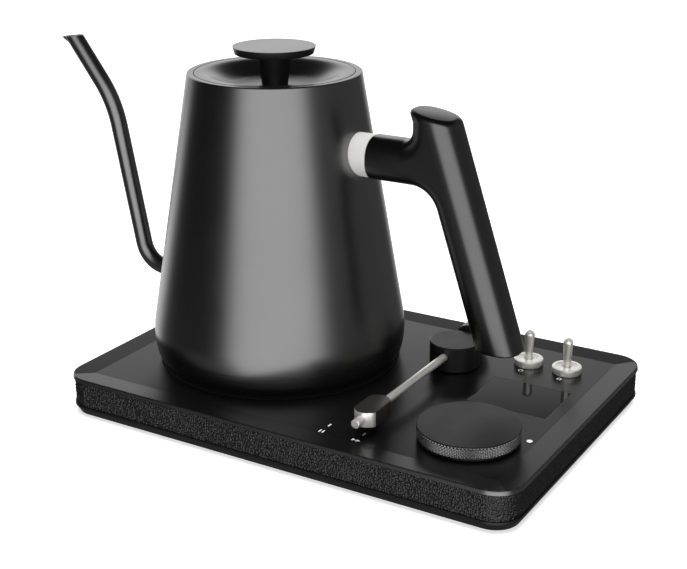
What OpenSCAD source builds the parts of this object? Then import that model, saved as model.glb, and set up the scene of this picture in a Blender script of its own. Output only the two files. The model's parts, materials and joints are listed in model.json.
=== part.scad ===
// Electric gooseneck kettle on a flat control base.
// Millimetres, +Z up. The origin is the middle of the base's underside, on the centre foot.
// +X runs along the base's long side, and -Y is the side that faces the user.

/* [Base] */
// Length of the base along X
base_w = 260; // [250:1:275]
// Depth of the base along Y
base_d = 175.6; // [170:0.2:190]
// Plan radius of the base's corners
base_corner_r = 14.5; // [10:0.5:20]
// Height of the trim that runs round the foot of the base
trim_h = 5; // [5:0.25:7]
// Height of the leather band
leather_h = 13.55; // [12.5:0.05:15]
// Height of the top plate's outer edge
plate_edge_h = 2.25; // [2:0.05:3]
// Width of the sloping border round the top panel
border_w = 12.3; // [9:0.1:13]
// Height of the border's outer edge above the panel
border_rise = 0.9; // [0.5:0.1:1.2]
// Height of the feet below the trim
foot_drop = 0.8; // [0.6:0.1:1]

/* [Kettle] */
// Kettle axis, X
kettle_x = -49.8; // [-52:0.1:-48]
// Kettle axis, Y
kettle_y = 1.5; // [-2:0.1:3]
// Height of the rim above the base's panel
kettle_h = 155.9; // [154:0.1:158]
// Radius of the rim
rim_r = 45.37; // [45:0.01:46]
// Angle between the wall and the vertical
wall_angle = 9.66; // [9.4:0.01:9.9]
// Thickness of the steel wall
wall_t = 0.95; // [0.8:0.05:1.2]
// Inner radius of the rim, where the lid drops in
mouth_r = 41.9; // [41.5:0.1:42.2]

/* [Spout] */
// Outer radius of the spout tube
spout_r = 4.7; // [4.4:0.1:4.9]
// Wall of the spout tube
spout_wall = 0.8; // [0.6:0.1:1]

/* [Handle] */
// Radius of the handle's arm and of its steel collar
arm_r = 11.1; // [10.5:0.1:11.5]
// Lean of the grip from the vertical
grip_lean = 18.53; // [18:0.01:19]
// Half thickness of the grip across its lean
grip_half_depth = 11.2; // [10.8:0.1:11.6]
// Half width of the grip along Y
grip_half_width = 11.6; // [11:0.1:12]

/* [Lid] */
// Depth of the dish in the lid
dish_depth = 6.8; // [5:0.1:7]
// Radius of the knob's top
knob_r = 21.5; // [20:0.1:23]
// Height of the knob's disc
knob_h = 3.85; // [3:0.05:5]

/* [Controls] */
// Dial axis, X
dial_x = 88.2; // [86:0.1:90]
// Dial axis, Y
dial_y = -44.7; // [-46:0.1:-43]
// Radius of the dial
dial_r = 25.2; // [24:0.1:26]
// Top of the dial above the panel
dial_h = 8; // [7.5:0.1:9]
// Gap under the dial
dial_gap = 0.7; // [0.6:0.05:0.9]
// Radius of a toggle's dress nut
nut_r = 7.9; // [7.5:0.1:8.3]
// Top of a toggle lever above the panel
lever_h = 19.55; // [18:0.05:21]

/* [Selector arm] */
// Arm pivot, X
pivot_x = 42.5; // [41:0.1:44]
// Arm pivot, Y
pivot_y = 32; // [31:0.1:33]
// Radius of the pivot drum
drum_r = 13.6; // [13:0.1:14]
// Top of the drum above the panel
drum_h = 14.25; // [14:0.05:15]
// Axis of the arm's tube above the panel
tube_h = 8.7; // [8.6:0.05:8.8]
// Radius of the arm's tube
tube_r = 2.1; // [1.8:0.1:2.2]

/* [Hidden] */
$fn = 96;
eps = 0.01;

// Levels of the base
leather_z = foot_drop + trim_h;
lip_z = leather_z + leather_h;
edge_z = lip_z + plate_edge_h;
panel_z = edge_z - border_rise;
plate_t = 2.5;
plate_under_z = panel_z - plate_t;
pan_floor_t = 2;
pan_top_z = foot_drop + pan_floor_t;
housing_t = 2.4;
leather_t = 1;
leather_inset = 0.5;
housing_inset = leather_inset + leather_t;
trim_chamfer = 2.2;
trim_chamfer_h = 4.3;
edge_chamfer = 0.4;

// Fixings of the base
boss_r = 3.6;
screw_r = 1.5;
screw_hole_r = 1.55;
boss_x = 118;
boss_y = 76.5;
boss_places = [for (x = [-boss_x, 0, boss_x], y = [-boss_y, boss_y]) [x, y]];
foot_r = 7;
centre_foot_r = 9;
foot_places = [for (x = [-104, 104], y = [-66, 66]) [x, y]];
foot_recess = 1.2;

// Cord gland in the back wall
gland_x = -60;
gland_z = leather_z + 7.4;
gland_r = 4.5;
gland_flange_r = 5.8;
gland_lock_r = 4.9;
gland_bore_r = 3.2;

// Kettle seat and the round connector on it
seat_r = 66;
seat_t = 1;
seat_gap = 0.3;
flange_r = 21.3;
post_r = 14.5;
post_h = 12.2;
socket_r = 15;
socket_outer_r = 21.5;
cover_hole_r = 22;
neck_r = 18;

// Display
window_x0 = 68;
window_y0 = -6;
window_w = 43.2;
window_d = 34.4;
window_t = 1.45;
window_gap = 0.12;

// Toggles
toggle_places = [[76.8, 52.7], [98.8, 52.7]];
nut_h = 3.54;
toggle_bush_r = 5.8;
toggle_bore_r = 3.5;
toggle_lip_t = 0.6;
lever_hole_r = 2.45;
lever_pivot_h = nut_h - 1.5;
lever_ball_r = 2.3;
lever_pin_r = 0.6;
lever_pin_l = 6.4;

// Indicator beside the dial
lens_x = 114.3;
lens_y = -32.3;
lens_r = 1.45;

// Encoder
shaft_r = 3;
running_gap = 0.05;

// Arm
shell_y = pivot_y - 89.1;
shell_half_w = 6.05;
shell_half_l = 11.7;
shell_side_l = 7.1;
shell_round = 2;
shell_half_h = 4;
pin_r = 2.25;
pin_out = 5.3;
weight_r = 8;
weight_y0 = pivot_y + 15.9;
weight_l = 12;
tube_z = panel_z + tube_h;

// Kettle outline: a straight cone, a belly arc below it and a heel arc down to the flat bottom
rim_z = panel_z + kettle_h;
belly_r = 44.5;
belly_z = panel_z + 23.6;
belly_end = -12.33;
heel_r = 8;
seam_angle = -4.42;
seam_gap = 0.15;
function cone_r(z) = rim_r + (rim_z - z) * tan(wall_angle);
belly_cx = cone_r(belly_z) - belly_r * cos(wall_angle);
belly_cz = belly_z - belly_r * sin(wall_angle);
heel_cx = belly_cx + (belly_r - heel_r) * cos(belly_end);
heel_cz = belly_cz + (belly_r - heel_r) * sin(belly_end);
seam_z = belly_cz + belly_r * sin(seam_angle);
bottom_z = heel_cz - heel_r;
floor_z = panel_z + 21.3;
floor_t = 1;

// Spout: root leaves the wall at a right angle, then two bends in one plane
spout_root_lean = 90 - wall_angle;
spout_body_lean = 11.1;
spout_tip_lean = 37.3;
spout_low_bend_r = 15;
spout_high_bend_r = 60;
spout_low_l = 68.6;
spout_high_l = 38;
spout_root_x = -64.3;
spout_root_z = panel_z + 32.5;
spout_root_l = 17.1;
splice_l = 0.4;
splice_step = 0.02;
spout_cut_tilt = 7;
lip_x = -144.3;
lip_h = 161.8;
lip_r = 3;
lip_l = 11;
lip_lean = 58;

// Handle, measured from the kettle axis
arm_z = panel_z + 118.3;
collar_x0 = 49;
collar_x1 = 60.1;
grip_ref_x = 114.86;
grip_ref_z = panel_z + 80.1;
grip_top_x = 94.6;
grip_top_z = panel_z + 143.9;
grip_top_tilt = 10.3;
grip_foot_z = panel_z + 28.4;
grip_round = 8;
shoulder_z = panel_z + 141;
arm_top_fillet = 6;
arm_under_fillet = 15;
function grip_x(z) = grip_ref_x + (grip_ref_z - z) * tan(grip_lean);

// Lid
lid_r = mouth_r - 0.3;
dish_flat = 2.6;
dish_floor_r = 20;
dish_t = 0.8;
dish_floor_z = rim_z - dish_depth;
liner_r = mouth_r - 2.5;
liner_h = 12;
liner_t = 0.7;
stem_r0 = 6.8;
knob_under_z = rim_z + 9.1;
stem_r1 = 9.1;
knob_foot_r = knob_r - 1.1;
lid_screw_r = 2;

black = "#1b1b1c";
satin = "#232324";
steel = "#b9b6b0";
gunmetal = "#4a4845";
rubber = "#161616";
green = "#2d6b45";

function arc(cx, cz, r, a0, a1, n) =
    [for (i = [0:n]) let(a = a0 + (a1 - a0) * i / n) [cx + r * cos(a), cz + r * sin(a)]];

// Points of the belly between two angles, pushed inwards by t
function belly(a0, a1, n, t = 0) = arc(belly_cx, belly_cz, belly_r - t, a0, a1, n);
function heel(a0, a1, n, t = 0) = arc(heel_cx, heel_cz, heel_r - t, a0, a1, n);

module rounded_rect(w, d, r) {
    union() {
        square([w - 2 * r, d], center = true);
        square([w, d - 2 * r], center = true);
        for (sx = [-1, 1], sy = [-1, 1])
            translate([sx * (w / 2 - r), sy * (d / 2 - r)])
                circle(r);
    }
}

// A slab with the base's plan, drawn in by inset
module base_slab(inset, z0, z1) {
    translate([0, 0, z0])
        linear_extrude(z1 - z0)
            rounded_rect(base_w - 2 * inset, base_d - 2 * inset, base_corner_r - inset);
}

// The same plan, tapering from one inset to another
module base_taper(inset0, inset1, z0, z1) {
    hull() {
        base_slab(inset0, z0, z0 + eps, $fn = 48);
        base_slab(inset1, z1 - eps, z1, $fn = 48);
    }
}

module at_kettle() {
    translate([kettle_x, kettle_y, 0])
        children();
}

module at_pivot() {
    translate([pivot_x, pivot_y, 0])
        children();
}

module at_dial() {
    translate([dial_x, dial_y, 0])
        children();
}

module at_toggle(i) {
    translate([toggle_places[i][0], toggle_places[i][1], panel_z])
        children();
}

module ring(r_out, r_in, z0, z1) {
    translate([0, 0, z0])
        difference() {
            cylinder(h = z1 - z0, r = r_out);
            translate([0, 0, -1])
                cylinder(h = z1 - z0 + 2, r = r_in);
        }
}

module disc(r, z0, z1) {
    translate([0, 0, z0])
        cylinder(h = z1 - z0, r = r);
}

module block(x, y, z0, size_x, size_y, size_z) {
    translate([x - size_x / 2, y - size_y / 2, z0])
        cube([size_x, size_y, size_z]);
}

// ---- Base ----

module top_plate() {
    color(satin)
    difference() {
        union() {
            base_slab(0, lip_z, edge_z - edge_chamfer);
            base_taper(0, edge_chamfer, edge_z - edge_chamfer, edge_z);
            base_slab(housing_inset + housing_t + 0.2, plate_under_z, lip_z + eps);
        }
        // the panel, and the border that slopes up from it
        hull() {
            translate([-base_w / 2 + border_w, -base_d / 2 + border_w, panel_z])
                cube([base_w - 2 * border_w, base_d - 2 * border_w, eps]);
            translate([-base_w / 2, -base_d / 2, edge_z])
                cube([base_w, base_d, 1]);
        }
        at_kettle() {
            disc(seat_r, panel_z - seat_t, panel_z + 1);
            disc(neck_r + 0.1, plate_under_z - 1, panel_z);
        }
        // pocket and opening for the display
        translate([window_x0, window_y0, panel_z - window_t - 0.05])
            cube([window_w, window_d, 3]);
        translate([window_x0 + 2.5, window_y0 + 2.5, plate_under_z - 1])
            cube([window_w - 5, window_d - 5, plate_t]);
        at_dial()
            disc(4, plate_under_z - 1, panel_z + 1);
        for (i = [0, 1])
            at_toggle(i)
                disc(toggle_bush_r + 0.1, -plate_t - 1, 1);
        at_pivot()
            disc(5, plate_under_z - 1, panel_z + 1);
        translate([lens_x, lens_y, 0])
            disc(lens_r + 0.05, plate_under_z - 1, panel_z + 1);
        for (p = boss_places)
            translate([p[0], p[1], 0])
                disc(screw_hole_r, plate_under_z - 1, plate_under_z + 1.2);
    }
}

module base_housing() {
    color(black)
    difference() {
        union() {
            difference() {
                base_slab(housing_inset, leather_z, lip_z);
                base_slab(housing_inset + housing_t, leather_z - 1, lip_z + 1);
            }
            intersection() {
                base_slab(housing_inset, leather_z, lip_z);
                for (p = boss_places)
                    translate([p[0], p[1], 0])
                        disc(boss_r, pan_top_z, plate_under_z);
            }
            // webs that tie the bosses to the wall
            for (p = boss_places)
                block(p[0], sign(p[1]) * (boss_y + boss_r + 1.6), leather_z, 3, 4.4, plate_under_z - leather_z);
        }
        for (p = boss_places)
            translate([p[0], p[1], 0])
                disc(screw_hole_r, 0, edge_z);
        translate([gland_x, base_d / 2 + 1, gland_z])
            rotate([90, 0, 0])
                cylinder(h = 8, r = gland_r + 0.05);
    }
}

module leather_wrap() {
    color(black)
    difference() {
        base_slab(leather_inset, leather_z, lip_z);
        base_slab(housing_inset, leather_z - 1, lip_z + 1);
        translate([gland_x, base_d / 2 + 1, gland_z])
            rotate([90, 0, 0])
                cylinder(h = 8, r = gland_r + 0.05);
    }
}

module bottom_pan() {
    color(black)
    difference() {
        union() {
            base_taper(trim_chamfer, 0, foot_drop, foot_drop + trim_chamfer_h);
            base_slab(0, foot_drop + trim_chamfer_h - eps, leather_z);
        }
        base_slab(housing_inset + housing_t, pan_top_z, leather_z + 1);
        for (p = foot_places)
            translate([p[0], p[1], 0])
                disc(foot_r + 0.1, 0, foot_drop + foot_recess);
        disc(centre_foot_r + 0.1, 0, foot_drop + foot_recess);
        for (p = boss_places)
            translate([p[0], p[1], 0]) {
                disc(screw_r + 0.1, 0, leather_z + 1);
                disc(3.2, 0, foot_drop + 1.2);
            }
    }
}

module base_feet() {
    color(rubber) {
        for (p = foot_places)
            translate([p[0], p[1], 0])
                disc(foot_r, 0, foot_drop + foot_recess);
        disc(centre_foot_r, 0, foot_drop + foot_recess);
    }
}

module base_screws() {
    color(steel)
        for (p = boss_places)
            translate([p[0], p[1], 0]) {
                disc(3, foot_drop + 0.2, foot_drop + 1.2);
                disc(screw_r, foot_drop + 1.2 - eps, plate_under_z + 1);
            }
}

module kettle_seat() {
    color(satin)
        at_kettle()
            ring(seat_r - seat_gap, flange_r + 0.15, panel_z - seat_t, panel_z);
}

// Lower half of the connector: a post with two ring-shaped contact slots
module connector_base() {
    color(black)
        at_kettle()
            difference() {
                union() {
                    disc(neck_r, pan_top_z + 4, panel_z - seat_t + eps);
                    disc(flange_r, panel_z - seat_t, panel_z + 0.2);
                    translate([0, 0, panel_z])
                        rotate_extrude()
                            polygon([
                                [0, 0], [post_r, 0], [post_r, post_h - 0.8],
                                [post_r - 0.8, post_h], [0, post_h]
                            ]);
                }
                ring(11.4, 9.4, panel_z + 3, panel_z + post_h + 1);
                ring(6.6, 4.8, panel_z + 3, panel_z + post_h + 1);
            }
}

module connector_contacts() {
    color("#b08d45")
        at_kettle() {
            ring(11.2, 10.4, panel_z + 3, panel_z + post_h - 3.5);
            ring(6.4, 5.6, panel_z + 3, panel_z + post_h - 3.5);
        }
}

module display_window() {
    color("#08080a")
        translate([window_x0 + window_gap, window_y0 + window_gap, panel_z - window_t])
            cube([window_w - 2 * window_gap, window_d - 2 * window_gap, window_t + 0.03]);
}

module display_module() {
    color("#1d2a33")
        block(window_x0 + window_w / 2, window_y0 + window_d / 2, panel_z - window_t - 3.2,
              window_w - 6, window_d - 6, 3.1);
}

board_z = pan_top_z + 4;
board_t = 1.6;

module control_board() {
    color(green)
    difference() {
        block(89, -20, board_z, 60, 88, board_t);
        for (x = [62.5, 115.5], y = [-60, 20])
            translate([x, y, 0])
                disc(1.6, board_z - 1, board_z + board_t + 1);
        at_dial()
            disc(3.4, board_z - 1, board_z + board_t + 1);
    }
}

module encoder_body() {
    color("#6f7276")
        at_dial()
            difference() {
                union() {
                    block(0, 0, board_z + board_t, 12.4, 13.2, 6.6);
                    disc(3.5 + 0.1, board_z + board_t + 6.6 - eps, panel_z - 0.3);
                }
                disc(shaft_r + running_gap, board_z + board_t + 1, panel_z);
            }
}

module indicator_lens() {
    color("white")
        translate([lens_x, lens_y, 0])
            disc(lens_r, plate_under_z - 1.2, panel_z + 0.1);
}

power_x = -99;

module power_board() {
    color(green)
        block(power_x, 0, board_z, 42, 116, board_t);
}

module relay() {
    color("#2f4f8f")
        block(power_x - 6, -38, board_z + board_t, 15.4, 28.6, 9.4);
}

module transformer() {
    color("#c9a227")
        block(power_x, 6, board_z + board_t, 28, 32, 9.5);
}

module filter_capacitor() {
    color("#2b2b30")
        translate([power_x, 32, board_z + board_t + 4.5])
            rotate([-90, 0, 0])
                cylinder(h = 20, r = 4.4);
}

module buzzer() {
    color(black)
        translate([100, 12, 0])
            disc(4.5, board_z + board_t, board_z + board_t + 4);
}

module cord_gland() {
    color(rubber)
        translate([gland_x, base_d / 2, gland_z])
            rotate([90, 0, 0])
                difference() {
                    union() {
                        translate([0, 0, -1.1])
                            cylinder(h = 1.1 + leather_inset, r = gland_flange_r);
                        cylinder(h = housing_inset + housing_t + 1.5, r = gland_r);
                        translate([0, 0, housing_inset + housing_t + 0.05])
                            cylinder(h = 1.45, r = gland_lock_r);
                    }
                    translate([0, 0, -3])
                        cylinder(h = 12, r = gland_bore_r);
                }
}

// ---- Toggles ----

module toggle_nut(i) {
    color(steel)
        at_toggle(i)
            rotate_extrude()
                polygon([
                    [toggle_bush_r + 0.1, 0.35], [nut_r - 0.3, 0.35], [nut_r, 0.65],
                    [nut_r, nut_h - 0.35], [nut_r - 0.35, nut_h], [nut_r - 1.9, nut_h],
                    [nut_r - 2.1, nut_h - 0.18], [lever_hole_r, nut_h - 0.18],
                    [lever_hole_r, nut_h - toggle_lip_t + 0.05],
                    [toggle_bush_r + 0.1, nut_h - toggle_lip_t + 0.05]
                ]);
}

module toggle_nut_1() { toggle_nut(0); }
module toggle_nut_2() { toggle_nut(1); }

module toggle_switch(i) {
    color(gunmetal)
        at_toggle(i)
            difference() {
                union() {
                    block(0, 0, -12.4, 13, 19, 12.4 - plate_t - 0.05);
                    disc(toggle_bush_r, -plate_t - 0.1, nut_h - toggle_lip_t);
                    ring(nut_r - 0.5, toggle_bush_r - 1, 0, 0.3);
                }
                disc(toggle_bore_r, -6.6, lever_pivot_h - 1.1);
                disc(lever_ball_r + running_gap, -6.6, nut_h);
                lever_pin(lever_pin_r + running_gap, lever_pin_l + 0.2);
            }
}

module toggle_switch_1() { toggle_switch(0); }
module toggle_switch_2() { toggle_switch(1); }

// The pin across the lever's ball, on which it tilts
module lever_pin(r, l) {
    translate([-l / 2, 0, lever_pivot_h])
        rotate([0, 90, 0])
            cylinder(h = l, r = r);
}

// Bat lever: a ball in the bushing, a stem that widens upwards and a round tip
bat_r = 2.72;

module toggle_lever(i) {
    color(steel)
        at_toggle(i) {
            translate([0, 0, lever_pivot_h])
                sphere(lever_ball_r);
            lever_pin(lever_pin_r, lever_pin_l);
            rotate_extrude()
                polygon(concat(
                    [[0, -4.4], [1.2, -4.4], [1.5, -1], [1.9, nut_h]],
                    arc(0, lever_h - bat_r, bat_r, -4, 90, 16)
                ));
        }
}

module toggle_lever_1() { toggle_lever(0); }
module toggle_lever_2() { toggle_lever(1); }

// ---- Dial ----

dial_top_z = panel_z + dial_h;
dial_foot_z = panel_z + dial_gap;
grip_band_z0 = dial_foot_z + 0.75;
grip_band_z1 = dial_top_z - 0.45;

module encoder_shaft() {
    color(steel)
        at_dial()
            disc(shaft_r, board_z + board_t + 1.5, dial_top_z - 2.5);
}

module dial_knob() {
    color(satin)
        at_dial()
            rotate_extrude()
                polygon([
                    [shaft_r + running_gap, dial_foot_z], [6.5, dial_foot_z],
                    [6.5, dial_top_z - 2.2], [dial_r - 3.6, dial_top_z - 2.2],
                    [dial_r - 3.6, dial_foot_z], [dial_r - 0.6, dial_foot_z],
                    [dial_r - 0.25, dial_foot_z + 0.3], [dial_r - 0.25, grip_band_z0],
                    [dial_r - 1.8, grip_band_z0], [dial_r - 1.8, grip_band_z1],
                    [dial_r - 0.1, grip_band_z1], [dial_r - 0.1, dial_top_z - 0.2],
                    [dial_r - 0.3, dial_top_z], [0, dial_top_z],
                    [0, dial_top_z - 1.9], [shaft_r + running_gap, dial_top_z - 1.9]
                ]);
}

module dial_grip_ring() {
    color(satin)
        at_dial()
            ring(dial_r, dial_r - 1.75, grip_band_z0 + 0.02, grip_band_z1 - 0.02);
}

// ---- Selector arm ----

module arm_bushing() {
    color("#b08d45")
        at_pivot() {
            ring(4.95, shaft_r + running_gap, panel_z - 6.7, panel_z + eps);
            ring(7, shaft_r + running_gap, panel_z, panel_z + 0.2);
        }
}

module arm_sensor() {
    color(green)
        at_pivot() {
            block(0, 0, pan_top_z, 14, 14, 1.6);
            block(0, 0, pan_top_z + 1.6 - eps, 4, 3, 1.1);
        }
}

module arm_shaft() {
    color(steel)
        at_pivot()
            difference() {
                disc(shaft_r, panel_z - 11.5, tube_z - tube_r - 0.9);
                ring(shaft_r + 1, shaft_r - 0.6, panel_z - 8.2, panel_z - 7.2);
            }
}

module arm_clip() {
    color(gunmetal)
        at_pivot()
            difference() {
                ring(shaft_r + 2, shaft_r - 0.55, panel_z - 8.1, panel_z - 7.3);
                block(0, -4, panel_z - 9, 3, 6, 3);
            }
}

module arm_magnet() {
    color(steel)
        at_pivot()
            disc(shaft_r, panel_z - 13, panel_z - 11.5);
}

module arm_drum() {
    color(satin)
        difference() {
            at_pivot()
                rotate_extrude()
                    polygon([
                        [0, panel_z + 0.4], [drum_r - 0.4, panel_z + 0.4],
                        [drum_r, panel_z + 0.8], [drum_r, panel_z + drum_h - 0.4],
                        [drum_r - 0.4, panel_z + drum_h], [0, panel_z + drum_h]
                    ]);
            at_pivot()
                disc(shaft_r + 0.02, panel_z, tube_z - tube_r - 0.8);
            translate([pivot_x, pivot_y + drum_r + 1, tube_z])
                rotate([90, 0, 0])
                    cylinder(h = 2 * drum_r + 2, r = tube_r + 0.05);
            // countersunk mouths where the tube goes in
            translate([pivot_x, pivot_y - drum_r - 0.2, tube_z])
                rotate([-90, 0, 0])
                    cylinder(h = 1.2, r1 = tube_r + 1.2, r2 = tube_r);
        }
}

module along_arm(y0, y1, r) {
    translate([pivot_x, y1, tube_z])
        rotate([90, 0, 0])
            cylinder(h = y1 - y0, r = r);
}

tube_front_y = shell_y + shell_half_l - 6;

module arm_tube() {
    color(steel)
        along_arm(tube_front_y, weight_y0 + weight_l - 1.5, tube_r);
}

// The headshell's six-sided plan with rounded corners, drawn in by inset
module shell_plan(inset) {
    hull()
        for (s = [-1, 1]) {
            translate([0, s * (shell_half_l - shell_round)])
                circle(shell_round - inset, $fn = 32);
            for (side = [-1, 1])
                translate([side * (shell_half_w - shell_round), s * shell_side_l])
                    circle(shell_round - inset, $fn = 32);
        }
}

module headshell() {
    chamfer = 0.45;
    color(gunmetal)
        difference() {
            translate([pivot_x, shell_y, tube_z])
                union() {
                    translate([0, 0, -shell_half_h + chamfer])
                        linear_extrude(2 * (shell_half_h - chamfer))
                            shell_plan(0);
                    for (s = [-1, 1])
                        hull() {
                            translate([0, 0, s * (shell_half_h - chamfer) - eps / 2])
                                linear_extrude(eps)
                                    shell_plan(0);
                            translate([0, 0, s * (shell_half_h - eps / 2) - eps / 2])
                                linear_extrude(eps)
                                    shell_plan(chamfer);
                        }
                }
            along_arm(tube_front_y - 0.1, shell_y + shell_half_l + 1, tube_r + 0.05);
            along_arm(shell_y - shell_half_l - 1, shell_y - shell_half_l + 6.1, pin_r + 0.05);
        }
}

module headshell_pin() {
    pin_l = pin_out + 6;
    color(steel)
        translate([pivot_x, shell_y - shell_half_l - pin_out, tube_z])
            rotate([-90, 0, 0])
                rotate_extrude()
                    polygon([
                        [0, 0], [pin_r - 0.3, 0], [pin_r, 0.3], [pin_r, pin_l], [0, pin_l]
                    ]);
}

module counterweight() {
    color(satin)
        difference() {
            translate([pivot_x, weight_y0, tube_z])
                rotate([-90, 0, 0])
                    rotate_extrude()
                        polygon([
                            [0, 0], [weight_r - 0.5, 0], [weight_r, 0.5],
                            [weight_r, weight_l - 0.5], [weight_r - 0.5, weight_l], [0, weight_l]
                        ]);
            along_arm(weight_y0 - 1, weight_y0 + weight_l - 1.4, tube_r + 0.05);
        }
}

// ---- Kettle ----

module upper_connector() {
    color(black)
        at_kettle()
            difference() {
                disc(socket_outer_r, panel_z + 0.7, panel_z + 15.3);
                disc(socket_r, panel_z, panel_z + post_h + 1);
            }
}

cover_t = 2;
cover_screw_places = [for (a = [30, 150, 270]) [50 * cos(a), 50 * sin(a)]];

module kettle_base_cover() {
    spigot_z = seam_z + 3.4;
    spigot_r = belly_cx + belly_r - wall_t - 0.25;
    color(black)
        at_kettle()
            difference() {
                rotate_extrude()
                    polygon(concat(
                        [[cover_hole_r, bottom_z]],
                        heel(-90, belly_end, 10),
                        belly(belly_end, seam_angle - 0.19, 5),
                        [[spigot_r - 0.35, seam_z - seam_gap], [spigot_r - 0.35, spigot_z],
                         [spigot_r - cover_t, spigot_z]],
                        belly(seam_angle - 0.19, belly_end, 4, cover_t),
                        heel(belly_end, -90, 8, cover_t),
                        [[cover_hole_r, bottom_z + cover_t]]
                    ));
                for (p = cover_screw_places)
                    translate([p[0], p[1], 0]) {
                        disc(1.6, bottom_z - 1, bottom_z + 5);
                        disc(3, bottom_z - 1, bottom_z + 1.2);
                    }
            }
}

module base_cover_screws() {
    color(steel)
        at_kettle()
            for (p = cover_screw_places)
                translate([p[0], p[1], 0]) {
                    disc(2.8, bottom_z + 0.2, bottom_z + 1.2);
                    disc(1.4, bottom_z + 1.2 - eps, bottom_z + 14);
                }
}

// Floor with its flange turned down, fitted to the wall's inner radius at the floor's top
module kettle_floor() {
    top_z = floor_z + floor_t;
    rim = belly_cx + sqrt(pow(belly_r - wall_t, 2) - pow(top_z - belly_cz, 2)) - 0.1;
    flange_l = 3.5;
    color(steel)
        at_kettle() {
            rotate_extrude()
                polygon([
                    [0, floor_z], [rim - floor_t, floor_z], [rim - floor_t, top_z - flange_l],
                    [rim, top_z - flange_l], [rim, top_z], [0, top_z]
                ]);
            // studs that hold the base cover's screws
            for (p = cover_screw_places)
                translate([p[0], p[1], 0])
                    ring(3.4, 1.5, bottom_z + 7, floor_z + eps);
        }
}

module heating_element() {
    color(gunmetal)
        at_kettle() {
            translate([0, 0, floor_z - 3.6])
                rotate([0, 0, 120])
                    rotate_extrude(angle = 300)
                        translate([36, 0])
                            circle(3.4);
        }
}

module temperature_sensor() {
    color(gunmetal)
        at_kettle()
            translate([24, 0, 0]) {
                disc(3.5, floor_z - 2.6, floor_z - 0.1);
                disc(1, floor_z - 5.6, floor_z - 2.6 + eps);
            }
}

// Solid inside the steel wall's outer face, for trimming what meets it
module kettle_envelope() {
    rotate_extrude()
        polygon([[0, 0], [cone_r(0), 0], [cone_r(rim_z), rim_z], [0, rim_z]]);
}

module kettle_body() {
    lip_z0 = rim_z - 7;
    inner_top = cone_r(rim_z - wall_t) - wall_t;
    color(satin)
        at_kettle()
            difference() {
                rotate_extrude()
                    polygon(concat(
                        belly(seam_angle, wall_angle, 9),
                        [[cone_r(rim_z - 0.5), rim_z - 0.5], [rim_r - 0.15, rim_z - 0.15],
                         [rim_r - 0.5, rim_z], [mouth_r + 0.25, rim_z], [mouth_r, rim_z - 0.25],
                         [mouth_r, lip_z0], [mouth_r + 0.8, lip_z0],
                         [mouth_r + 0.8, rim_z - wall_t], [inner_top, rim_z - wall_t]],
                        belly(wall_angle, seam_angle, 9, wall_t)
                    ));
                spout_root()
                    translate([0, 0, -6])
                        cylinder(h = 20, r = spout_r + 0.05);
                translate([collar_x0 - 6, 0, arm_z])
                    rotate([0, 90, 0])
                        cylinder(h = 14, r = 2.7);
            }
}

module spout_root() {
    translate([spout_root_x, 0, spout_root_z])
        rotate([0, -spout_root_lean, 0])
            children();
}

// A pipe bend that starts at the origin along +Z and turns towards +X.
// It is a hair thinner than the straights, which run on into it by splice_l at each end.
module bend(r, bend_r, angle) {
    translate([bend_r, 0, 0])
        rotate([90, 0, 180])
            rotate_extrude(angle = angle)
                translate([bend_r, 0])
                    circle(r - splice_step);
}

// A straight pipe along +Z from z0 to z1
module straight(r, z0, z1) {
    translate([0, 0, z0])
        cylinder(h = z1 - z0, r = r);
}

module after_bend(bend_r, angle) {
    translate([bend_r, 0, 0])
        rotate([0, angle, 0])
            translate([-bend_r, 0, 0])
                children();
}

// The spout's run at radius r, from inside the wall to beyond the tip
module spout_run(r, extra) {
    low_turn = spout_root_lean - spout_body_lean;
    high_turn = spout_tip_lean - spout_body_lean;
    spout_root() {
        straight(r, -extra, spout_root_l + splice_l);
        translate([0, 0, spout_root_l]) {
            bend(r, spout_low_bend_r, low_turn);
            after_bend(spout_low_bend_r, low_turn) {
                straight(r, -splice_l, spout_low_l + splice_l);
                translate([0, 0, spout_low_l]) {
                    mirror([1, 0, 0])
                        bend(r, spout_high_bend_r, high_turn);
                    after_bend(-spout_high_bend_r, -high_turn)
                        straight(r, -splice_l, spout_high_l + extra);
                }
            }
        }
    }
}

// The pouring lip is a narrower tube that leans further. Its underside ends in the lip's point.
module lip_tube(r) {
    translate([lip_x, 0, panel_z + lip_h])
        rotate([0, -lip_lean, 0])
            translate([lip_r, 0, -lip_l])
                cylinder(h = lip_l + 8, r = r);
}

module spout() {
    color(satin)
        at_kettle()
            difference() {
                union() {
                    spout_run(spout_r, 0);
                    lip_tube(lip_r);
                }
                spout_run(spout_r - spout_wall, 1);
                lip_tube(lip_r - spout_wall);
                translate([lip_x, 0, panel_z + lip_h])
                    rotate([0, -spout_cut_tilt, 0])
                        translate([-20, -15, 0])
                            cube([60, 30, 30]);
            }
}

module spout_filter() {
    color(steel)
        at_kettle()
            spout_root()
                translate([0, 0, -2.6])
                    difference() {
                        cylinder(h = 0.8, r = 7);
                        for (i = [-2:2], j = [-2:2])
                            if (abs(i) + abs(j) < 4)
                                translate([i * 2, j * 2, -1])
                                    cylinder(h = 3, r = 0.6, $fn = 24);
                    }
}

module along_handle(x0, x1, r) {
    translate([x0, 0, arm_z])
        rotate([0, 90, 0])
            cylinder(h = x1 - x0, r = r);
}

module handle_collar() {
    color(steel)
        at_kettle()
            difference() {
                along_handle(collar_x0, collar_x1, arm_r);
                kettle_envelope();
                along_handle(collar_x0 - 1, collar_x1 + 1, 2.7);
            }
}

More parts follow.
